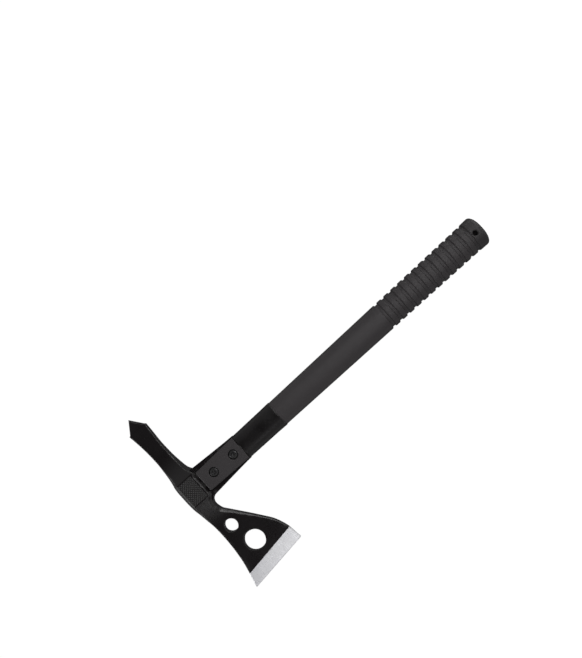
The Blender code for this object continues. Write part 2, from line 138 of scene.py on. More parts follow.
# Cheeks of the fork
CHEEK_HALF_WIDTHS = (12.8, 11.4)  # at the ferrule and at the far end
CHEEK_CORNER = 1.4
CHEEK_CORNER_LEAST = 0.3  # corner left at the ends of the round-overs
CHEEK_BREAKS = (0.5, 1.0)  # round-over of the shoulder at the ferrule, and of the far end
CHEEK_BREAK_STEPS = 6
FLAT_SHARE = 0.18  # share of a section's points on each half of a flat side
SLOT_FLARE = 0.35  # chamfer of the slot's mouths

# Tang: x and half-width, all one thickness
TANG_HALF = 3.5
TANG_HIDDEN = [(TANG_ROOT_X, 7.5), (TANG_ROOT_X + 1.5, 9.0), (CHEEK_START + GAP, 11.2)]
TANG_SHOWN = [(CHEEK_START + GAP, 14.1), (328.6, 14.6), (352.0, 16.1), (367.0, 17.2),
              (370.5, 18.3), (373.5, 20.6), (379.0, 22.0)]
TANG_BREAK = 0.5
TANG_STEPS = 6  # points from one listed station to the next
EASE_SHARE = 0.3  # where the middle point of an eased edge lies across the edge

# Head: y, then the x of its edge towards the handle and of its outer edge
SPIKE_RIBS = [
    (-80.3, 371.8, 391.9), (-70.5, 372.4, 390.4), (-57.0, 373.4, 389.1), (-43.0, 373.4, 388.7),
    (-31.0, 372.7, 389.3), (-22.5, 371.9, 390.1), (-17.5, 369.9, 390.7), (-13.5, 367.6, 391.3),
    (-8.0, 367.1, 391.8), (0.0, 367.1, 391.9), (8.0, 367.1, 391.9), (13.5, 367.8, 391.6),
]
# Blade: the same two edges, each with its own y, because the last ribs turn with the edge
BLADE_RIBS = [
    ((371.5, 17.3), (391.5, 17.3)), ((374.2, 23.5), (390.9, 23.0)),
    ((372.0, 31.0), (390.1, 30.5)), ((366.0, 39.2), (389.2, 38.5)), ((357.4, 51.0), (388.9, 50.0)),
    ((349.0, 62.7), (389.4, 62.5)), ((342.1, 72.6), (390.4, 73.0)), ((338.0, 81.5), (392.1, 84.5)),
    ((335.6, 89.1), (395.0, 96.9)),
]
CUTTING_EDGE = ((333.5, 104.2), (LENGTH, BLADE_REACH))
CUTTING_HALF = 0.12
HONED_SHARE = 0.06  # share of the ground bevel's width that the fine honed edge takes
HONED_HALF = 0.5  # half-thickness where the honed edge starts
GROUND_STEPS = 8
GROUND_BREAK_SHARE = 0.3  # edge break of a thin rib, to its half-thickness
SPIKE_TIP_X = 381.9
SPIKE_SHOULDER = 80.3
# Tip of the spike: distance from its end, half-thickness, side wall and width of its side bevels
SPIKE_TIP = [(0.05, 0.25, 0.15, 0.02), (2.4, 2.6, 0.15, 1.6), (12.7, 3.2, 0.2, 1.6)]
TIP_STEPS = 5
RIB_STEPS = 9

# Thickness of the head by distance from the handle's axis: full on the boss, then a hollow sweep
# to the first half-thickness of the pair, then a straight run to the second
BOSS_REACH = 13.6
BOSS_BLEND_END = 46.0
SPIKE_HALF = (5.0, 3.2)
BLADE_HALF = (4.6, 2.7)
BLADE_GRIND_START = 93.0
# Chamfers of the head's long edges: wide on the boss, and narrow from BREAK_BLEND_END outwards
EDGE_BREAK = 0.7
BOSS_INNER_BREAK = 2.8
BOSS_OUTER_BREAK = 3.4
BREAK_BLEND_END = 38.0
# Inner edge of the blade past the throat: its widest chamfer, the y where that starts, is full
# and has faded, and its depth through the thickness, to its width
BEARD_BREAK = 2.9
BEARD_BREAK_SPAN = (26.0, 32.0, 62.0)
BEARD_SLOPE = 0.85
# Inner edge of the spike: its chamfer, and the distances between which the boss's narrows to it
SPIKE_BREAK = 0.3
SPIKE_BREAK_SPAN = (8.5, 14.0)
EDGE_SOFTNESS = 0.22  # how far the corners of an edge break are rounded
SOFT_LIMIT = 0.4  # the most of a side that one rounded corner takes
SOFT_STEPS = 3
SOFT_END_WEAR = 0.3  # wear where a rounded corner meets its sides
# Points added inside each side of a rib: none on chamfers, few on walls, many on the two faces
RIB_FILL = (0, 14, 0, 3, 0, 14, 0, 3)

# Round holes in the blade: x, y, radius
BLADE_HOLES = [(368.6, 75.9, 10.6), (376.0, 49.8, 6.9)]
HOLE_BREAK = 0.3
LIP_STEPS = 6
LIP_POWER = 1.7

# Chequering cut into both flats of the boss: x and y reach, and the V-shaped cuts
PAD_X = (371.0, 387.4)
PAD_HALF_WIDTH = 12.6
CHEQUER_PITCH = 2.0
CHEQUER_DEPTH = 0.55
CHEQUER_LAND = 0.34  # flat left on top of each diamond
CHEQUER_WEAR = (0.50, 0.12)  # below the face: where the diamonds' wear starts and is full
CHEQUER_CLEAR = 0.04  # how far the cuts' prisms stand above the face
CHEQUER_BORDER = 0.2  # over which the wear fades in from the pad's border
PAD_BLOCK_DEPTH = 2.0

# Fasteners
SCREW_CLEARANCE = 2.8
COUNTERBORE_RADIUS = 4.95
COUNTERBORE_FLOOR = 7.4
COUNTERBORE_LIP = 0.35
WASHER_RADIUS = 4.65
WASHER_THICKNESS = 1.0
WASHER_BREAK = 0.18
SCREW_RADIUS = 2.5
SCREW_POINT = 0.5
SCREW_FILLET = 0.3  # under the head
SCREW_HEAD_RADIUS = 4.65
SCREW_HEAD_HEIGHT = 2.4
SCREW_HEAD_RIM = 0.4  # height of the upright side below the dome
SCREW_HEAD_EASE = 0.1
SCREW_HEAD_FLAT = 2.25  # radius of the flat on top of the dome
SCREW_RIM_WEAR = 0.6
SCREW_TIP_Z = -10.9
DOME_STEPS = 14
THREAD_PITCH = 0.8
THREAD_DEPTH = 0.43
THREAD_STEPS = 10  # rings in one turn of the thread
THREAD_VALLEY = (1.6, 4.0)  # its valley's trapezoid: height before clipping, and slope
THREAD_END_Z = 4.5
SOCKET_ACROSS_FLATS = 3.0
SOCKET_DEPTH = 1.7
SOCKET_POINT = (0.6, 0.4)  # low point of its floor: its width, and the dip
SOCKET_LIP = 0.37  # depth of the chamfer round its mouth
NUT_ACROSS_FLATS = 8.0
NUT_TOP_Z = -6.3
NUT_HEIGHT = 4.6
NUT_BODY_HEIGHT = 3.2
NUT_COLLAR_RADIUS = 3.75
NUT_COLLAR_BREAK = 0.5
NUT_COLLAR_STEPS = 5
NUT_CORNER_BREAK = 0.35  # how far the corners' chamfer reaches into the flats
NUT_CHAMFER_SLOPE = math.tan(math.radians(30.0))
NUT_CHAMFER_EXTRA = 0.105  # added to the depth that the slope gives
NUT_BORE_LIP = 0.4
POCKET_FLOOR = -6.0
POCKET_LIP = 0.4
INSERT_RADII = (2.8, 3.25)
INSERT_INSET = 0.1
TURNED_SEGMENTS = 72
TURN = [math.tau * step / TURNED_SEGMENTS for step in range(TURNED_SEGMENTS)]

EDGE = "edge"  # vertex attribute: 1 along the corners that wear
SHARP_DEGREES = 32.0  # corners steeper than this stay crisp


# ---- Mesh helpers ----

def new_object(name, data):
    item = bpy.data.objects.new(name, data)
    bpy.context.collection.objects.link(item)
    return item


def put(name, bm, *materials):
    """Turn a bmesh in millimetres of the tool frame into an object in the frame's metres."""
    for vertex in bm.verts:
        vertex.co = ORIGIN + vertex.co * MM
    bmesh.ops.recalc_face_normals(bm, faces=bm.faces)
    mesh = bpy.data.meshes.new(name)
    bm.to_mesh(mesh)
    bm.free()
    for material in materials:
        mesh.materials.append(material)
    return new_object(name, mesh)


def new_shape():
    """An empty bmesh with the attribute for wear."""
    bm = bmesh.new()
    bm.verts.layers.float.new(EDGE)
    return bm


def add_rings(bm, rings, worn):
    """Vertices for closed rings of points, and their wear, ring by ring, if it is given."""
    layer = bm.verts.layers.float[EDGE]
    rows = []
    for points, amounts in zip(rings, worn or [()] * len(rings)):
        row = [bm.verts.new(point) for point in points]
        for vertex, amount in zip(row, amounts):
            vertex[layer] = amount
        rows.append(row)
    return rows


def skin(bm, lower, upper):
    """Quads from one closed ring to the next, in the order of the ring's points."""
    count = len(lower)
    return [bm.faces.new((lower[i], lower[(i + 1) % count], upper[(i + 1) % count], upper[i]))
            for i in range(count)]


def loft(bm, rings, worn=None):
    """A solid through closed rings of equal point count. Returns the side faces, band by band."""
    rows = add_rings(bm, rings, worn)
    bands = [skin(bm, lower, upper) for lower, upper in zip(rows, rows[1:])]
    bm.faces.new(rows[0])
    bm.faces.new(rows[-1])
    return bands


def solid(rings, worn=None):
    """A new shape with one loft."""
    bm = new_shape()
    loft(bm, rings, worn)
    return bm


def tube(rings, worn=None):
    """A closed band: its rings run along the outside and back along the inside."""
    bm = new_shape()
    rows = add_rings(bm, rings, worn)
    for lower, upper in zip(rows, rows[1:] + rows[:1]):
        skin(bm, lower, upper)
    return bm


def circle(x, y, radius, z):
    return [(x + radius * math.cos(a), y + radius * math.sin(a), z) for a in TURN]


def corner_radius(across_flats):
    return across_flats / math.sqrt(3.0)


def hexagon(x, across_flats, z):
    radius = corner_radius(across_flats)
    turn = [math.radians(60.0 * step) for step in range(6)]
    return [(x + radius * math.cos(a), radius * math.sin(a), z) for a in turn]


def quarter_turn(steps):
    return [math.pi / 2 * step / steps for step in range(steps + 1)]


def settle(item):
    """Keep the mesh that an object's modifiers make, without the modifiers."""
    graph = bpy.context.evaluated_depsgraph_get()
    made = bpy.data.meshes.new_from_object(item.evaluated_get(graph))
    old = item.data
    item.modifiers.clear()
    item.data = made
    made.name = item.name
    bpy.data.meshes.remove(old)


def carve(item, shapes, operation="DIFFERENCE"):
    """Combine an object with bmeshes or other objects, which it uses up, and keep the mesh."""
    tools = bpy.data.collections.new("tools")
    bpy.context.scene.collection.children.link(tools)
    for number, shape in enumerate(shapes):
        tool = put(f"tool_{number}", shape) if isinstance(shape, bmesh.types.BMesh) else shape
        bpy.context.collection.objects.unlink(tool)
        tools.objects.link(tool)
    modifier = item.modifiers.new(operation.lower(), "BOOLEAN")
    modifier.operation = operation
    modifier.solver = "EXACT"
    modifier.operand_type = "COLLECTION"
    modifier.collection = tools
    settle(item)
    for tool in list(tools.objects):
        bpy.data.meshes.remove(tool.data)
    bpy.data.collections.remove(tools)


def finish_piece(item, node):
    """Smooth shading with crisp edges; the piece is put on the root body and its CAD part hidden.
    """
    item.data.shade_smooth()
    item.data.set_sharp_from_angle(angle=math.radians(SHARP_DEGREES))
    weighted = item.modifiers.new("weighted normals", "WEIGHTED_NORMAL")
    weighted.keep_sharp = True
    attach(item, "root")
    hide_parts(node)


def along(line, x):
    """Read a list of (x, values...) at x, with straight runs between its points."""
    for first, second in zip(line, line[1:]):
        if x <= second[0]:
            part = max(0.0, (x - first[0]) / (second[0] - first[0]))
            return [a + (b - a) * part for a, b in zip(first[1:], second[1:])]
    return list(line[-1][1:])


def smooth_step(value):
    value = min(1.0, max(0.0, value))
    return value * value * (3.0 - 2.0 * value)


def spline(points, steps):
    """A Catmull-Rom curve through points, with its ends kept."""
    padded = [points[0]] + list(points) + [points[-1]]
    curve = []
    for index in range(1, len(padded) - 2):
        before, start, end, after = padded[index - 1:index + 3]
        for step in range(steps):
            u = step / steps
            curve.append(tuple(
                0.5 * (2 * b + (c - a) * u + (2 * a - 5 * b + 4 * c - d) * u * u
                       + (3 * b - a - 3 * c + d) * u * u * u)
                for a, b, c, d in zip(before, start, end, after)))
    curve.append(points[-1])
    return curve


# ---- Sections across the handle ----

def section_angles():
    """Evenly spaced angles, with a few more beside the two parting lines."""
    even = [math.tau * step / (4 * SECTION_STEPS) for step in range(4 * SECTION_STEPS)]
    extra = [centre + side * angle for centre in (0.0, math.pi) for side in (-1, 1)
             for angle in PARTING_BESIDE]
    return sorted(even + [angle % math.tau for angle in extra])


ANGLES = section_angles()


def section(x, place_point):
    """A ring at x. place_point gives y and z of a quarter's point from its angle."""
    ring = []
    for angle in ANGLES:
        quarter = math.atan2(abs(math.sin(angle)), abs(math.cos(angle)))
        y, z = place_point(quarter)
        ring.append((x, math.copysign(y, math.cos(angle)), math.copysign(z, math.sin(angle))))
    return ring


def oval(x, half_width, half_depth, power=SHAFT_POWER, parting=0.0):
    """A superellipse, with the parting line raised where it crosses the widest points."""
    def place_point(quarter):
        y = half_width * abs(math.cos(quarter)) ** (2.0 / power)
        z = half_depth * abs(math.sin(quarter)) ** (2.0 / power)
        return (y + parting if quarter < PARTING_ANGLE else y), z
    return section(x, place_point)


def box_section(x, half_width, half_depth, corner):
    """A rectangle with round corners."""
    def place_point(quarter):
        share = quarter / (math.pi / 2)
        if share < FLAT_SHARE:
            return half_width, (half_depth - corner) * share / FLAT_SHARE
        if share > 1.0 - FLAT_SHARE:
            return (half_width - corner) * (1.0 - share) / FLAT_SHARE, half_depth
        turn = (share - FLAT_SHARE) / (1.0 - 2.0 * FLAT_SHARE) * math.pi / 2
        return (half_width - corner + corner * math.cos(turn),
                half_depth - corner + corner * math.sin(turn))
    return section(x, place_point)


def sleeve_section(x, inset):
    """The ferrule's outer section at x, moved inwards."""
    half_width, half_depth, power = along(FERRULE_LINE, x)
    return oval(x, half_width - inset, half_depth - inset, power)


# ---- Handle ----

def groove_depth(x):
    """How deep the nearest groove is at x."""
    number = round((x - GROOVE_FIRST) / GROOVE_PITCH)
    number = min(GROOVE_COUNT - 1, max(0, number))
    away = abs(x - GROOVE_FIRST - number * GROOVE_PITCH)
    return GROOVE_DEPTH * smooth_step((GROOVE_TOP - 2 * away) / (GROOVE_TOP - GROOVE_BOTTOM))


def handle_stations():
    """x of each ring from the grip to the ferrule: close together in the grooves."""
    stations = list(GRIP_STATIONS)
    reach = GROOVE_TOP / 2
    count = round(GROOVE_TOP / GROOVE_STEP)
    for number in range(GROOVE_COUNT):
        centre = GROOVE_FIRST + number * GROOVE_PITCH
        stations += [centre - reach + GROOVE_TOP * step / count for step in range(count + 1)]
    start = stations[-1]
    count = round((SHAFT_END - start) / SHAFT_STEP)
    return stations + [start + (SHAFT_END - start) * step / count for step in range(1, count + 1)]


def pommel_rings():
    """A round-over from the small flat at the end to the full section."""
    _, full_width, full_depth = SHAFT_LINE[0]
    rings = []
    for step in range(POMMEL_STEPS):
        angle = math.pi / 2 * step / POMMEL_STEPS
        half_width = POMMEL_FLAT[0] + (full_width - POMMEL_FLAT[0]) * math.sin(angle)
        half_depth = POMMEL_FLAT[1] + (full_depth - POMMEL_FLAT[1]) * math.sin(angle)
        rings.append(oval(POMMEL_LENGTH * (1.0 - math.cos(angle)), half_width, half_depth,
                          parting=PARTING_HEIGHT * step / POMMEL_STEPS))
    return rings


def cheek_rings():
    """From the shoulder at the ferrule to the end of the fork, both edges rounded over."""
    first, last = CHEEK_HALF_WIDTHS
    near, far = CHEEK_BREAKS
    rings = []
    for radius, x_start, direction, half_width in (
            (near, CHEEK_START, 1.0, first), (far, CHEEK_END, -1.0, last)):
        part = []
        for angle in reversed(quarter_turn(CHEEK_BREAK_STEPS)):
            inset = radius * (1.0 - math.cos(angle))
            x = x_start + direction * radius * (1.0 - math.sin(angle))
            corner = max(CHEEK_CORNER - inset / 2, CHEEK_CORNER_LEAST)
            part.append(box_section(x, half_width - inset, HALF_DEPTH - inset, corner))
        rings += part if direction > 0 else part[::-1]
    return rings


def rounded_lip(radius, face, size, reach=PAST):
    """(radius, z) of a round cutter's upper half: straight, then curving out through the face."""
    low = face - size
    steps = [step / LIP_STEPS for step in range(LIP_STEPS + 1)]
    curve = [(radius + size * u ** LIP_POWER, low + size * u) for u in steps]
    return curve + [(radius + size + LIP_POWER * reach, face + reach)]


def round_cutter(x, y, profile):
    """A turned solid from a profile of (radius, z)."""
    return solid([circle(x, y, radius, z) for radius, z in profile])


def mirrored(profile):
    """A profile of (radius, z), with its mirror image in the mid-plane before it."""
    return [(radius, -z) for radius, z in reversed(profile)] + profile


def fork_slot():
    """The slot for the tang, flared where it leaves the cheeks' sides."""
    first, last = CHEEK_HALF_WIDTHS
    taper = (last - first) / (CHEEK_END - CHEEK_START)
    half = TANG_HALF + GAP
    wide = half + SLOT_FLARE
    rings = []
    for x in (TANG_ROOT_X - NEAR_PAST, CHEEK_END + PAST):
        side = first + taper * (x - CHEEK_START)
        mouth = [(side - SLOT_FLARE, half), (side + HAIR, wide), (side + PAST, wide + PAST)]
        upper = [(-y, z) for y, z in reversed(mouth)] + mouth
        lower = [(y, -z) for y, z in reversed(upper)]
        rings.append([(x, y, z) for y, z in upper + lower])
    return solid(rings)


def nut_pocket(x):
    """A hexagonal pocket from below, with a small chamfer round its mouth."""
    across = NUT_ACROSS_FLATS + 2 * GAP
    mouth = -HALF_DEPTH
    return solid([hexagon(x, across + 2 * (POCKET_LIP + PAST), mouth - PAST),
                  hexagon(x, across, mouth + POCKET_LIP), hexagon(x, across, POCKET_FLOOR)])


def screw_bore(x):
    """The screw's hole through both cheeks, with its counterbore from above."""
    bore = [(SCREW_CLEARANCE, -HALF_DEPTH - PAST), (SCREW_CLEARANCE, COUNTERBORE_FLOOR)]
    return round_cutter(x, 0.0, bore + [(COUNTERBORE_RADIUS, COUNTERBORE_FLOOR)]
                        + rounded_lip(COUNTERBORE_RADIUS, HALF_DEPTH, COUNTERBORE_LIP))


def make_handle(material):
    rings = pommel_rings()
    for x in handle_stations():
        half_width, half_depth = along(SHAFT_LINE, x)
        depth = groove_depth(x)
        rings.append(oval(x, half_width - depth, half_depth - depth, parting=PARTING_HEIGHT))
    for x in (SHAFT_END, *[station[0] for station in FERRULE_LINE[1:-1]], CHEEK_START):
        rings.append(sleeve_section(x, FERRULE_WALL + GAP))
    handle = put("handle_moulding", solid(rings + cheek_rings()), material)

    lanyard = mirrored(rounded_lip(LANYARD_RADIUS, HALF_DEPTH, LANYARD_LIP))
    shapes = [fork_slot(), round_cutter(LANYARD_X, 0.0, lanyard)]
    for x in SCREW_X.values():
        shapes += [screw_bore(x), nut_pocket(x)]
    carve(handle, shapes)
    finish_piece(handle, "handle")


# ---- Ferrule ----

def make_ferrule(material):
    """A steel sleeve whose outer ends are rolled over."""
    first, last = FERRULE_LINE[0][0], FERRULE_LINE[-1][0]
    rolled = [(FERRULE_BREAK * (1.0 - math.sin(a)), FERRULE_BREAK * (1.0 - math.cos(a)))
              for a in quarter_turn(ROLL_STEPS)]
    plain = [first + (last - first) * step / FERRULE_STEPS for step in range(1, FERRULE_STEPS)]
    stations = sorted((first + run, inset) for run, inset in rolled)
    stations += [(x, 0.0) for x in plain]
    stations += sorted((last - run, inset) for run, inset in rolled)
    outer = [sleeve_section(x, inset) for x, inset in stations]
    worn = [[1.0 if 0.0 < inset < FERRULE_BREAK else 0.0] * len(ANGLES) for _, inset in stations]
    inner = [sleeve_section(x, FERRULE_WALL) for x in [last] + plain[::-1] + [first]]
    sleeve = tube(outer + inner, worn + [()] * len(inner))
    finish_piece(put("ferrule_sleeve", sleeve, material), "ferrule")


# ---- Head ----

def head_half_thickness(y):
    """Thick over the boss, then a hollow sweep down to the thin blade or spike."""
    distance = abs(y)
    start, end = BLADE_HALF if y > 0 else SPIKE_HALF
    far = BLADE_GRIND_START if y > 0 else SPIKE_SHOULDER
    if distance < BOSS_BLEND_END:
        left = min(1.0, (BOSS_BLEND_END - distance) / (BOSS_BLEND_END - BOSS_REACH))
        return start + (HALF_DEPTH - start) * left * left
    part = min(1.0, (distance - BOSS_BLEND_END) / (far - BOSS_BLEND_END))
    return start + (end - start) * part


def edge_break(y, at_boss):
    """The chamfer of a long edge: widest at the boss, narrow elsewhere."""
    fade = smooth_step((abs(y) - BOSS_REACH) / (BREAK_BLEND_END - BOSS_REACH))
    return at_boss + (EDGE_BREAK - at_boss) * fade


def inner_break(y):
    """The chamfer of the inner edge: narrow on the spike, and wide again past the throat."""
    if y < 0:
        start, end = SPIKE_BREAK_SPAN
        fade = smooth_step((-y - start) / (end - start))
        return BOSS_INNER_BREAK + (SPIKE_BREAK - BOSS_INNER_BREAK) * fade
    start, full, end = BEARD_BREAK_SPAN
    share = (y - start) / (full - start) if y < full else (end - y) / (end - full)
    return edge_break(y, BOSS_INNER_BREAK) + (BEARD_BREAK - EDGE_BREAK) * smooth_step(share)


def inner_wall(y):
    """Half-height of the inner edge's wall: its chamfer is flatter along the beard."""
    start, full, _ = BEARD_BREAK_SPAN
    slope = 1.0 + (BEARD_SLOPE - 1.0) * smooth_step((y - start) / (full - start))
    return head_half_thickness(y) - inner_break(y) * slope


def round_start(corner, other):
    """Where the rounding of a corner leaves its side towards another corner."""
    side = other - corner
    return corner + side.normalized() * min(EDGE_SOFTNESS, SOFT_LIMIT * side.length)


def softened(corners):
    """Round every corner of a rib and fill its sides. Returns the points and their wear."""
    points, worn = [], []
    corners = [Vector(corner) for corner in corners]
    for index, corner in enumerate(corners):
        after = corners[(index + 1) % len(corners)]
        start, end = round_start(corner, corners[index - 1]), round_start(corner, after)
        for step in range(SOFT_STEPS + 1):
            u = step / SOFT_STEPS
            points.append((1 - u) ** 2 * start + 2 * u * (1 - u) * corner + u * u * end)
            worn.append(1.0 if 0 < step < SOFT_STEPS else SOFT_END_WEAR)
        goal = round_start(after, corner)
        fill = RIB_FILL[index]
        for step in range(1, fill + 1):
            points.append(end + (goal - end) * step / (fill + 1))
            worn.append(0.0)
    return points, worn


def rib(inner, outer, half, inner_cut, outer_cut, inner_rise=None, outer_rise=None):
    """One cross-section of the head, as ring points and their wear.

    The cuts are the widths of its edges' chamfers, and the rises the half-heights of its edges'
    walls. Without a rise the chamfer is at 45 degrees.
    """
    inner_rise = half - inner_cut if inner_rise is None else inner_rise
    outer_rise = half - outer_cut if outer_rise is None else outer_rise
    length = math.dist(inner, outer)
    corners = [(0.0, -inner_rise), (inner_cut, -half), (length - outer_cut, -half),
               (length, -outer_rise), (length, outer_rise), (length - outer_cut, half),
               (inner_cut, half), (0.0, inner_rise)]
    points, worn = softened(corners)
    ring = []
    for distance, z in points:
        part = distance / length
        ring.append((inner[0] + (outer[0] - inner[0]) * part,
                     inner[1] + (outer[1] - inner[1]) * part, z))
    return ring, worn


def tip_ribs(left_end, right_end):
    """The spike's chisel tip, with more ribs between its listed ones."""
    ribs = []
    for first, second in zip(SPIKE_TIP, SPIKE_TIP[1:]):
        for step in range(TIP_STEPS):
            mix = step / TIP_STEPS
            ribs.append([a + (b - a) * mix for a, b in zip(first, second)])
    ribs.append(SPIKE_TIP[-1])
    made = []
    for distance, half, wall, bevel in ribs:
        part = distance / (SPIKE_REACH - SPIKE_SHOULDER)
        y = distance - SPIKE_REACH
        left = (SPIKE_TIP_X + (left_end[0] - SPIKE_TIP_X) * part, y)
        right = (SPIKE_TIP_X + (right_end[0] - SPIKE_TIP_X) * part, y)
        made.append(rib(left, right, half, bevel, bevel, wall, wall))
    return made


def ground_ribs(near, far):
    """The bare bevel, flat to the honed edge, then the honed edge itself."""
    made = []
    half_start = head_half_thickness((near[1] + far[1]) / 2)
    shares = [(1.0 - HONED_SHARE) * step / GROUND_STEPS for step in range(1, GROUND_STEPS + 1)]
    for share in shares + [1.0]:
        left = tuple(a + (b - a) * share for a, b in zip(near, CUTTING_EDGE[0]))
        right = tuple(a + (b - a) * share for a, b in zip(far, CUTTING_EDGE[1]))
        if share < 1.0:
            half = half_start + (HONED_HALF - half_start) * share / (1.0 - HONED_SHARE)
        else:
            half = CUTTING_HALF
        cut = min(EDGE_BREAK, half * GROUND_BREAK_SHARE)
        made.append(rib(left, right, half, cut, cut))
    return made


def make_tang():
    """The flat bar that the fork clamps, with its long edges eased."""
    side = TANG_HIDDEN + spline(TANG_SHOWN, TANG_STEPS)
    soft = TANG_BREAK * EASE_SHARE
    rings, worn = [], []
    for inset, z in mirrored([(0.0, TANG_HALF - TANG_BREAK), (soft, TANG_HALF - soft),
                              (TANG_BREAK, TANG_HALF)]):
        upper = [(x, half_width - inset, z) for x, half_width in side]
        ring = upper + [(x, -y, z) for x, y, _ in reversed(upper)]
        rings.append(ring)
        worn.append([1.0 if inset else 0.0] * len(ring))
    return solid(rings, worn)


def chequer_cuts(direction, face):
    """V-shaped prisms at 45 degrees to the handle, cut off at the pad's border."""
    top = HALF_DEPTH + CHEQUER_CLEAR
    grow = (CHEQUER_DEPTH + CHEQUER_CLEAR) / CHEQUER_DEPTH
    half_width = (CHEQUER_PITCH - CHEQUER_LAND) / 2 * grow
    corners = [(0.0, HALF_DEPTH - CHEQUER_DEPTH), (half_width, top), (-half_width, top)]
    middle = Vector(((PAD_X[0] + PAD_X[1]) / 2, 0.0, 0.0))
    run = Vector((1.0, direction, 0.0)).normalized()
    across = Vector((-run.y, run.x, 0.0))
    reach = math.hypot(PAD_X[1] - PAD_X[0], 2 * PAD_HALF_WIDTH) / 2
    bm = new_shape()
    count = math.ceil(reach / CHEQUER_PITCH)
    for number in range(-count, count + 1):
        centre = middle + across * number * CHEQUER_PITCH
        rings = []
        for end in (-reach, reach):
            foot = centre + run * end
            rings.append([foot + across * side + Vector((0.0, 0.0, face * z))
                          for side, z in corners])
        loft(bm, rings)
    return bm


def pad_block(face):
    """The box that the chequering's cuts are kept within."""
    low, high = PAD_X
    side = PAD_HALF_WIDTH
    corners = [(low, -side), (high, -side), (high, side), (low, side)]
    return solid([[(x, y, face * z) for x, y in corners]
                  for z in (HALF_DEPTH - PAD_BLOCK_DEPTH, HALF_DEPTH + NEAR_PAST)])


def cut_chequering(head):
    """Cut both sets of prisms into both flats of the boss."""
    for face in (1.0, -1.0):
        for direction in (1.0, -1.0):
            cuts = put("chequer_cuts", chequer_cuts(direction, face))
            carve(cuts, [pad_block(face)], "INTERSECT")
            carve(head, [cuts])


def make_head(coated, ground):
    """Ribs from the spike's tip to the cutting edge, joined to the tang, then cut."""
    inner = spline([(x, y) for y, x, _ in SPIKE_RIBS] + [pair[0] for pair in BLADE_RIBS], RIB_STEPS)
    outer = spline([(x, y) for y, _, x in SPIKE_RIBS] + [pair[1] for pair in BLADE_RIBS], RIB_STEPS)
    ribs = tip_ribs(inner[0], outer[0])
    for near, far in zip(inner, outer):
        middle = (near[1] + far[1]) / 2
        ribs.append(rib(near, far, head_half_thickness(middle), inner_break(middle),
                        edge_break(middle, BOSS_OUTER_BREAK), inner_wall(middle)))
    first_ground = len(ribs) - 1
    ribs += ground_ribs(inner[-1], outer[-1])
    bm = new_shape()
    bands = loft(bm, *zip(*ribs))
    for band in bands[first_ground:]:
        for face in band:
            face.material_index = 1
    head = put("axe_head_forging", bm, coated, ground)
    carve(head, [make_tang()], "UNION")
    holes = []
    for x, y, radius in BLADE_HOLES:
        face = head_half_thickness(y)
        lip = rounded_lip(radius, face, HOLE_BREAK, NEAR_PAST)
        holes.append(round_cutter(x, y, mirrored(lip)))
    for x in SCREW_X.values():
        bore = [(SCREW_CLEARANCE, -TANG_HALF - NEAR_PAST), (SCREW_CLEARANCE, TANG_HALF + NEAR_PAST)]
        holes.append(round_cutter(x, 0.0, bore))
    carve(head, holes)
    cut_chequering(head)
    finish_piece(head, "axe_head")


# ---- Fasteners ----

def thread_radius(angle, z):
    """A trapezoid thread profile that fades out at the screw's point and below its head."""
    turn = (z / THREAD_PITCH - angle / math.tau) % 1.0
    height, slope = THREAD_VALLEY
    valley = min(1.0, max(0.0, height - slope * abs(turn - 0.5)))
    fade = smooth_step((THREAD_END_Z - z) / THREAD_PITCH)
    return SCREW_RADIUS - THREAD_DEPTH * valley * fade


def make_screw(label, x, material):
    """A button-head screw: threaded shank, domed head and hexagon socket."""
    seat = COUNTERBORE_FLOOR + WASHER_THICKNESS + 2 * GAP
    top = seat + SCREW_HEAD_HEIGHT
    rim = seat + SCREW_HEAD_RIM
    rings = [circle(x, 0.0, SCREW_RADIUS - SCREW_POINT - THREAD_DEPTH * 0.5, SCREW_TIP_Z)]
    rise = THREAD_PITCH / THREAD_STEPS
    count = int((THREAD_END_Z - SCREW_TIP_Z - SCREW_POINT) / rise)
    for step in range(1, count + 1):
        z = SCREW_TIP_Z + SCREW_POINT + step * rise
        ring = []
        for angle in TURN:
            radius = thread_radius(angle, z)
            ring.append((x + radius * math.cos(angle), radius * math.sin(angle), z))
        rings.append(ring)
    rings += [circle(x, 0.0, SCREW_RADIUS, seat - SCREW_FILLET),
              circle(x, 0.0, SCREW_RADIUS + SCREW_FILLET, seat),
              circle(x, 0.0, SCREW_HEAD_RADIUS - SCREW_HEAD_EASE, seat)]
    worn = [()] * len(rings)
    for z in (seat + SCREW_HEAD_EASE, rim):
        rings.append(circle(x, 0.0, SCREW_HEAD_RADIUS, z))
        worn.append([SCREW_RIM_WEAR] * TURNED_SEGMENTS)
    for angle in quarter_turn(DOME_STEPS)[1:]:
        radius = SCREW_HEAD_FLAT + (SCREW_HEAD_RADIUS - SCREW_HEAD_FLAT) * math.cos(angle)
        rings.append(circle(x, 0.0, radius, rim + (top - rim) * math.sin(angle)))
        worn.append(())
    screw = put(f"{label}_button_screw", solid(rings, worn), material)

    point, dip = SOCKET_POINT
    socket = solid([hexagon(x, point, top - SOCKET_DEPTH - dip),
                    hexagon(x, SOCKET_ACROSS_FLATS, top - SOCKET_DEPTH),
                    hexagon(x, SOCKET_ACROSS_FLATS, top + NEAR_PAST)])
    corner = corner_radius(SOCKET_ACROSS_FLATS)
    lip = round_cutter(x, 0.0, [(0.5, top - 1.0), (SOCKET_ACROSS_FLATS / 2, top - SOCKET_LIP),
                                (corner + 0.1, top + 0.02), (corner + 0.5, top + 0.5)])
    carve(screw, [socket, lip])
    finish_piece(screw, f"{label}_screw")


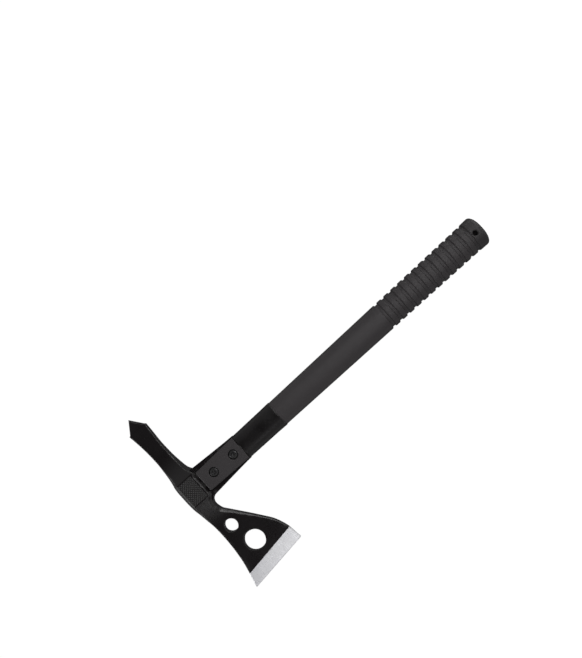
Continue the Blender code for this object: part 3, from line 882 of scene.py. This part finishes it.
def ring_piece(name, x, inner, outer, low, high, ease, material, node, slot):
    """A flat ring with eased edges."""
    soft = ease * EASE_SHARE
    profile = [(inner, low + ease), (inner + soft, low + soft), (inner + ease, low),
               (outer - ease, low), (outer - soft, low + soft), (outer, low + ease),
               (outer, high - ease), (outer - soft, high - soft), (outer - ease, high),
               (inner + ease, high), (inner + soft, high - soft), (inner, high - ease)]
    band = tube([circle(x, 0.0, radius, z) for radius, z in profile])
    finish_piece(put(name, band, material), node)


def make_nut(label, x, material):
    """A lock nut: chamfered hexagon, round collar, bore and the recess of its insert."""
    bottom = NUT_TOP_Z - NUT_BODY_HEIGHT
    end = NUT_TOP_Z - NUT_HEIGHT
    middle = (bottom + NUT_TOP_Z) / 2
    corner = corner_radius(NUT_ACROSS_FLATS)
    flat = NUT_ACROSS_FLATS / 2
    block = solid([hexagon(x, NUT_ACROSS_FLATS, z) for z in (bottom, NUT_TOP_Z)])
    nut = put(f"{label}_hex_lock_nut", block, material)
    rise = (corner - flat) * NUT_CHAMFER_SLOPE + NUT_CHAMFER_EXTRA
    envelope = round_cutter(x, 0.0, [
        (flat - NUT_CORNER_BREAK, bottom - 0.001), (corner + 0.1, bottom + rise + 0.1),
        (corner + 0.1, NUT_TOP_Z - rise - 0.1), (flat - NUT_CORNER_BREAK, NUT_TOP_Z + 0.001)])
    carve(nut, [envelope], "INTERSECT")
    collar = [(NUT_COLLAR_RADIUS - NUT_COLLAR_BREAK * (1.0 - math.sin(a)),
               end + NUT_COLLAR_BREAK * (1.0 - math.cos(a)))
              for a in quarter_turn(NUT_COLLAR_STEPS)]
    carve(nut, [round_cutter(x, 0.0, collar + [(NUT_COLLAR_RADIUS, middle)])], "UNION")
    recess = INSERT_RADII[1] + GAP / 2
    ledge = bottom + GAP
    mouth = NUT_TOP_Z - NUT_BORE_LIP
    carve(nut, [round_cutter(x, 0.0, [
        (recess, end - PAST), (recess, ledge), (SCREW_CLEARANCE, ledge),
        (SCREW_CLEARANCE, mouth), (SCREW_CLEARANCE + NEAR_PAST, mouth + NEAR_PAST)])])
    finish_piece(nut, f"{label}_lock_nut")


def make_fasteners(hardware, insert):
    for label, x in SCREW_X.items():
        make_screw(label, x, hardware)
        low = COUNTERBORE_FLOOR + GAP
        ring_piece(f"{label}_flat_washer", x, SCREW_CLEARANCE, WASHER_RADIUS, low,
                   low + WASHER_THICKNESS, WASHER_BREAK, hardware, f"{label}_washer",
                   "black_hardware")
        make_nut(label, x, hardware)
        ring_piece(f"{label}_nylon_ring", x, *INSERT_RADII, NUT_TOP_Z - NUT_HEIGHT + INSERT_INSET,
                   NUT_TOP_Z - NUT_BODY_HEIGHT - INSERT_INSET, INSERT_INSET, insert,
                   f"{label}_nut_insert", "insert_nylon")


# ---- Materials ----

MID_NOISE = (0.3, 0.7)  # what most values of a noise lie between
# Along the handle, in metres: painted light makes the nylon lighter from the grip towards the head,
# and painted shade darkens the pommel
PAINTED_LIGHT_RUN = (-0.08, 0.05)
POMMEL_PAINTED_SHADE_RUN = (-0.176, -0.190)
# Colours, as linear red, green and blue. A pair is mixed by a cloudy noise
NYLON = ((0.0224, 0.0200, 0.0213), (0.0269, 0.0241, 0.0256))
# painted light: the lighter colour that the nylon is painted with towards the head
NYLON_PAINTED_LIGHT = (0.060, 0.056, 0.058)
# painted shade: the dark colour painted over the pommel's end
NYLON_PAINTED_SHADE = (0.004, 0.004, 0.004)
NYLON_SPECK = (0.075, 0.073, 0.074)
COATING = ((0.0027, 0.0016, 0.0021), (0.0043, 0.0030, 0.0036))
COATING_RUBBED = (0.085, 0.083, 0.082)
CHEQUER_RUBBED = (0.042, 0.041, 0.041)
BARE_STEEL = ((0.88, 0.88, 0.91), (0.97, 0.97, 0.99))
# painted shade: the darker steel colour towards the bevel's tip
BARE_STEEL_PAINTED_SHADE = (0.76, 0.76, 0.79)
SLEEVE = ((0.0017, 0.0010, 0.0013), (0.0027, 0.0018, 0.0022))
SLEEVE_RUBBED = (0.09, 0.088, 0.087)
HARDWARE = ((0.028, 0.028, 0.029), (0.048, 0.047, 0.048))
HARDWARE_RUBBED = (0.16, 0.155, 0.15)
INSERT = ((0.55, 0.56, 0.52), (0.66, 0.67, 0.62))


def plug(tree, socket, value):
    if isinstance(value, bpy.types.NodeSocket):
        tree.links.new(value, socket)
    else:
        socket.default_value = value


def add(tree, kind, inputs=None, **settings):
    """A new node with its settings, and its inputs set to values or linked to sockets."""
    made = tree.nodes.new(kind)
    for name, value in settings.items():
        setattr(made, name, value)
    for name, value in (inputs or {}).items():
        plug(tree, made.inputs[name], value)
    return made


def new_material(name, colour):
    """A material and its nodes. The colour is only for a plain viewport."""
    material = bpy.data.materials.new(name)
    material.use_nodes = True
    material.diffuse_color = (*colour, 1.0)
    return material, material.node_tree


def position(tree, scale=(1.0, 1.0, 1.0), turn=0.0):
    """The object's own coordinates in metres, turned about z and then scaled."""
    source = add(tree, "ShaderNodeTexCoord").outputs["Object"]
    turned = add(tree, "ShaderNodeMapping", {"Vector": source, "Rotation": (0.0, 0.0, turn)})
    return add(tree, "ShaderNodeMapping",
               {"Vector": turned.outputs["Vector"], "Scale": scale}).outputs["Vector"]


def noise(tree, vector, scale, detail=3.0, roughness=0.55):
    return add(tree, "ShaderNodeTexNoise", {
        "Vector": vector, "Scale": scale, "Detail": detail, "Roughness": roughness}).outputs["Fac"]


def remap(tree, value, low, high, to_low=0.0, to_high=1.0):
    made = add(tree, "ShaderNodeMapRange", {
        "Value": value, "From Min": low, "From Max": high, "To Min": to_low, "To Max": to_high})
    return made.outputs["Result"]


def calculate(tree, operation, *values):
    made = add(tree, "ShaderNodeMath", dict(enumerate(values)), operation=operation)
    return made.outputs["Value"]


def multiply(tree, first, second):
    return calculate(tree, "MULTIPLY", first, second)


def blend_colours(tree, amount, first, second):
    if not isinstance(first, bpy.types.NodeSocket):
        first = (*first, 1.0)
    made = add(tree, "ShaderNodeMix", {"Factor": amount}, data_type="RGBA")
    plug(tree, made.inputs["A"], first)
    plug(tree, made.inputs["B"], (*second, 1.0))
    return made.outputs["Result"]


def part_of(tree, vector, axis):
    return add(tree, "ShaderNodeSeparateXYZ", {"Vector": vector}).outputs[axis]


def worn_edges(tree, vector, low=0.45, high=0.62):
    """The corners that rub, broken up so that the wear looks uneven."""
    edge = add(tree, "ShaderNodeAttribute", attribute_name=EDGE).outputs["Fac"]
    patches = remap(tree, noise(tree, vector, 140.0, 4.0), low, high)
    return multiply(tree, edge, patches)


def set_values(material, values):
    """Set plain values of a material's shader. Returns the shader."""
    shader = material.node_tree.nodes["Principled BSDF"]
    for name, value in values.items():
        shader.inputs[name].default_value = value
    return shader


def finish(material, colour, mask, roughness, values, *layers):
    """Set a material's colour, its roughness over a noise mask, its plain values and its bump.

    The bump's layers are (height, distance in metres, strength), one on top of the other.
    """
    tree = material.node_tree
    shader = set_values(material, values)
    plug(tree, shader.inputs["Base Color"], colour)
    plug(tree, shader.inputs["Roughness"], remap(tree, mask, *MID_NOISE, *roughness))
    normal = None
    for height, distance, strength in layers:
        inputs = {"Height": height, "Distance": distance, "Strength": strength}
        if normal is not None:
            inputs["Normal"] = normal
        normal = add(tree, "ShaderNodeBump", inputs).outputs["Normal"]
    if normal is not None:
        plug(tree, shader.inputs["Normal"], normal)
    return material


def moulded_nylon():
    material, tree = new_material("moulded_nylon", (0.03, 0.03, 0.03))
    here = position(tree)
    cloud = noise(tree, here, 45.0, 4.0)
    grain = noise(tree, here, 3200.0, 2.0)
    forward = part_of(tree, here, "X")
    # painted light: the nylon is painted lighter from the grip towards the head, making up for the
    # lamps that light the grip more
    painted_light = remap(tree, forward, *PAINTED_LIGHT_RUN, 0.0, 0.14)
    # painted shade: the pommel's end is painted darker
    pommel_painted_shade = remap(tree, forward, *POMMEL_PAINTED_SHADE_RUN, 0.0, 0.45)
    specks = remap(tree, noise(tree, here, 5200.0, 1.0), 0.66, 0.74)
    colour = blend_colours(tree, cloud, *NYLON)
    colour = blend_colours(tree, painted_light, colour, NYLON_PAINTED_LIGHT)
    colour = blend_colours(tree, pommel_painted_shade, colour, NYLON_PAINTED_SHADE)
    colour = blend_colours(tree, multiply(tree, specks, 0.35), colour, NYLON_SPECK)
    return finish(material, colour, cloud, (0.48, 0.54), {"Specular IOR Level": 0.40},
                  (grain, 0.00006, 0.55), (cloud, 0.0004, 0.10))


def worn_chequering(tree, vector):
    """1 on the tops of the boss's diamonds, and 0 in their cuts and off the pad."""
    moved = add(tree, "ShaderNodeVectorMath", {0: vector, 1: ORIGIN}, operation="SUBTRACT")
    place = moved.outputs["Vector"]
    across = calculate(tree, "ABSOLUTE", part_of(tree, place, "Y"))
    height = calculate(tree, "ABSOLUTE", part_of(tree, place, "Z"))
    low, side, border = [value * MM for value in (PAD_X[0], PAD_HALF_WIDTH, CHEQUER_BORDER)]
    on_pad = multiply(tree, remap(tree, part_of(tree, place, "X"), low, low + border),
                      remap(tree, across, side, side - border))
    start, full = [(HALF_DEPTH - depth) * MM for depth in CHEQUER_WEAR]
    return multiply(tree, on_pad, remap(tree, height, start, full))


def coated_steel():
    material, tree = new_material("coated_steel", (0.012, 0.012, 0.012))
    here = position(tree)
    cloud = noise(tree, here, 38.0, 5.0)
    peel = noise(tree, here, 900.0, 2.0)
    tooth = noise(tree, here, 4200.0, 2.0)
    wear = worn_edges(tree, here)
    colour = blend_colours(tree, cloud, *COATING)
    colour = blend_colours(tree, multiply(tree, wear, 0.55), colour, COATING_RUBBED)
    colour = blend_colours(tree, worn_chequering(tree, here), colour, CHEQUER_RUBBED)
    return finish(material, colour, cloud, (0.24, 0.31), {"Specular IOR Level": 0.62},
                  (peel, 0.00010, 0.12), (tooth, 0.00003, 0.35))


def ground_steel():
    """Bare steel, with the grinding belt's lines across the bevel, and painted shade that darkens
    it towards its tip.
    """
    material, tree = new_material("ground_steel", (0.75, 0.75, 0.77))
    (x0, y0), (x1, y1) = CUTTING_EDGE
    turn = -math.atan2(y1 - y0, x1 - x0)
    lines = noise(tree, position(tree, (1.0, 0.022, 0.3), turn), 2600.0, 3.0)
    broad = noise(tree, position(tree, (1.0, 0.05, 1.0), turn), 350.0, 3.0)
    forward = part_of(tree, position(tree), "X")
    # painted shade: the bevel is painted darker from the beard towards its outer corner
    painted_tip_shade = remap(tree, forward, ORIGIN.x + x0 * MM, ORIGIN.x + x1 * MM)
    colour = blend_colours(tree, broad, *BARE_STEEL)
    colour = blend_colours(tree, painted_tip_shade, colour, BARE_STEEL_PAINTED_SHADE)
    return finish(material, colour, lines, (0.24, 0.42), {"Metallic": 0.6},
                  (lines, 0.00002, 0.5))


def sleeve_steel():
    material, tree = new_material("sleeve_steel", (0.012, 0.012, 0.012))
    here = position(tree)
    cloud = noise(tree, here, 60.0, 4.0)
    brushed = noise(tree, position(tree, (0.06, 1.0, 1.0)), 1500.0, 2.0)
    wear = worn_edges(tree, here)
    colour = blend_colours(tree, cloud, *SLEEVE)
    colour = blend_colours(tree, multiply(tree, wear, 0.5), colour, SLEEVE_RUBBED)
    return finish(material, colour, cloud, (0.32, 0.46), {"Specular IOR Level": 0.55},
                  (brushed, 0.00002, 0.25))


def black_hardware():
    material, tree = new_material("black_hardware", (0.02, 0.02, 0.02))
    here = position(tree)
    cloud = noise(tree, here, 220.0, 4.0)
    wear = worn_edges(tree, here, 0.35, 0.6)
    grain = noise(tree, here, 3600.0, 2.0)
    colour = blend_colours(tree, cloud, *HARDWARE)
    colour = blend_colours(tree, multiply(tree, wear, 0.6), colour, HARDWARE_RUBBED)
    return finish(material, colour, cloud, (0.26, 0.40), {"Metallic": 0.6},
                  (grain, 0.00002, 0.3))


def natural_nylon():
    material, tree = new_material("natural_nylon", (0.6, 0.6, 0.57))
    cloud = noise(tree, position(tree), 500.0, 2.0)
    return finish(material, blend_colours(tree, cloud, *INSERT), cloud, (0.40, 0.55),
                  {"Subsurface Weight": 0.2, "Subsurface Scale": 0.001})


# ---- Stage ----

CAMERA_RISE = 0.6  # metres above the tool's mid-plane
CAMERA_PLACE = (0.00435, -0.01175)
CAMERA_TURN = 180.0 - 42.44  # degrees about the vertical: the handle rises to the upper right
FRAME_HEIGHT = 0.6448  # metres that the frame's long side spans at the mid-plane
CAMERA_SHIFT = (-0.05173, 0.05667)
FLOOR_REACH = 6.0  # metres from its middle to its sides
FLOOR_GREY = 0.10  # the little light that it reflects
FLOOR_GLOW = 0.95  # its own glow, which keeps the shadow faint
# Brightness of the studio by height: 0 is straight down, 0.5 the horizon and 1 straight up
WORLD_LEVELS = [(0.0, 0.08), (0.25, 0.13), (0.42, 0.46), (0.5, 0.46), (0.56, 0.33), (0.75, 0.28),
                (0.85, 0.24), (0.91, 0.165), (0.957, 0.09), (0.9755, 0.055), (1.0, 0.03)]
# Lamps: name, place, the point it faces, width and depth, brightness, and the rays that meet it
LAMPS = [
    ("overhead", (-0.13, -0.06, 1.0), (0.0, 0.0, 0.0), (0.70, 0.50), 7.5, "diffuse"),
    ("sheen", (-0.45, -0.16, 0.95), (-0.15, 0.0, 0.0), (0.50, 0.32), 4.4, "glossy"),
    ("bevel_side", (0.345, 0.60, 0.85), (0.16, 0.05, 0.0), (0.16, 0.35), 1.75, "both"),
    ("spike_side", (0.47, -0.65, 0.85), (0.18, 0.0, 0.0), (0.35, 0.50), 0.15, "glossy"),
    ("handle_end", (-0.93, -0.54, 0.23), (0.0, 0.0, 0.0), (1.05, 0.36), 3.9, "glossy"),
    ("head_end", (1.20, 0.0, 0.30), (0.0, 0.0, 0.0), (0.80, 0.35), 5.5, "glossy"),
]


def make_camera():
    data = bpy.data.cameras.new("camera")
    camera = new_object("camera", data)
    camera.location = (*CAMERA_PLACE, ORIGIN.z + CAMERA_RISE)
    camera.rotation_euler = (0.0, 0.0, math.radians(CAMERA_TURN))
    data.lens = data.sensor_width * CAMERA_RISE / FRAME_HEIGHT
    data.shift_x, data.shift_y = CAMERA_SHIFT
    bpy.context.scene.camera = camera


def make_floor():
    """A light table: it glows, so that the tool casts only a faint shadow on it."""
    material, _ = new_material("pale_floor", (0.9, 0.9, 0.9))
    set_values(material, {
        "Base Color": (FLOOR_GREY, FLOOR_GREY, FLOOR_GREY, 1.0), "Roughness": 0.9,
        "Specular IOR Level": 0.0, "Emission Color": (1.0, 1.0, 1.0, 1.0),
        "Emission Strength": FLOOR_GLOW})
    bm = bmesh.new()
    bmesh.ops.create_grid(bm, x_segments=8, y_segments=8, size=FLOOR_REACH)
    for vertex in bm.verts:
        vertex.co.z = cad_low.z - GAP * MM / 2
    mesh = bpy.data.meshes.new("floor")
    bm.to_mesh(mesh)
    bm.free()
    mesh.materials.append(material)
    floor = new_object("floor", mesh)
    floor.visible_glossy = False


def make_lamp(name, place, target, size, radiance, rays):
    """A soft rectangular lamp of an even brightness that faces a point."""
    width, depth = size
    data = bpy.data.lights.new(name, "AREA")
    data.shape = "RECTANGLE"
    data.size, data.size_y = width, depth
    data.energy = radiance * math.pi * width * depth
    lamp = new_object(name, data)
    away = Vector(place) - Vector(target)
    lamp.location = place
    lamp.rotation_euler = away.to_track_quat("Z", "Y").to_euler()
    lamp.visible_diffuse = rays != "glossy"
    lamp.visible_glossy = rays != "diffuse"


def make_world():
    """Dark straight above, brightest just below the horizon, and dim again from below."""
    world = bpy.data.worlds.new("studio")
    bpy.context.scene.world = world
    world.use_nodes = True
    tree = world.node_tree
    back = tree.nodes["Background"]
    direction = add(tree, "ShaderNodeTexCoord").outputs["Generated"]
    height = remap(tree, part_of(tree, direction, "Z"), -1.0, 1.0)
    ramp = add(tree, "ShaderNodeValToRGB", {"Fac": height})
    elements = ramp.color_ramp.elements
    while len(elements) < len(WORLD_LEVELS):
        elements.new(0.5)
    for element, (place, level) in zip(elements, WORLD_LEVELS):
        element.position = place
        element.color = (level, level, level, 1.0)
    plug(tree, back.inputs["Color"], ramp.outputs["Color"])
    back.inputs["Strength"].default_value = 1.0


def make_stage():
    scene = bpy.context.scene
    scene.view_settings.view_transform = "Standard"
    make_camera()
    make_floor()
    make_world()
    for lamp in LAMPS:
        make_lamp(*lamp)


make_stage()
make_handle(moulded_nylon())
make_ferrule(sleeve_steel())
make_head(coated_steel(), ground_steel())
make_fasteners(black_hardware(), natural_nylon())
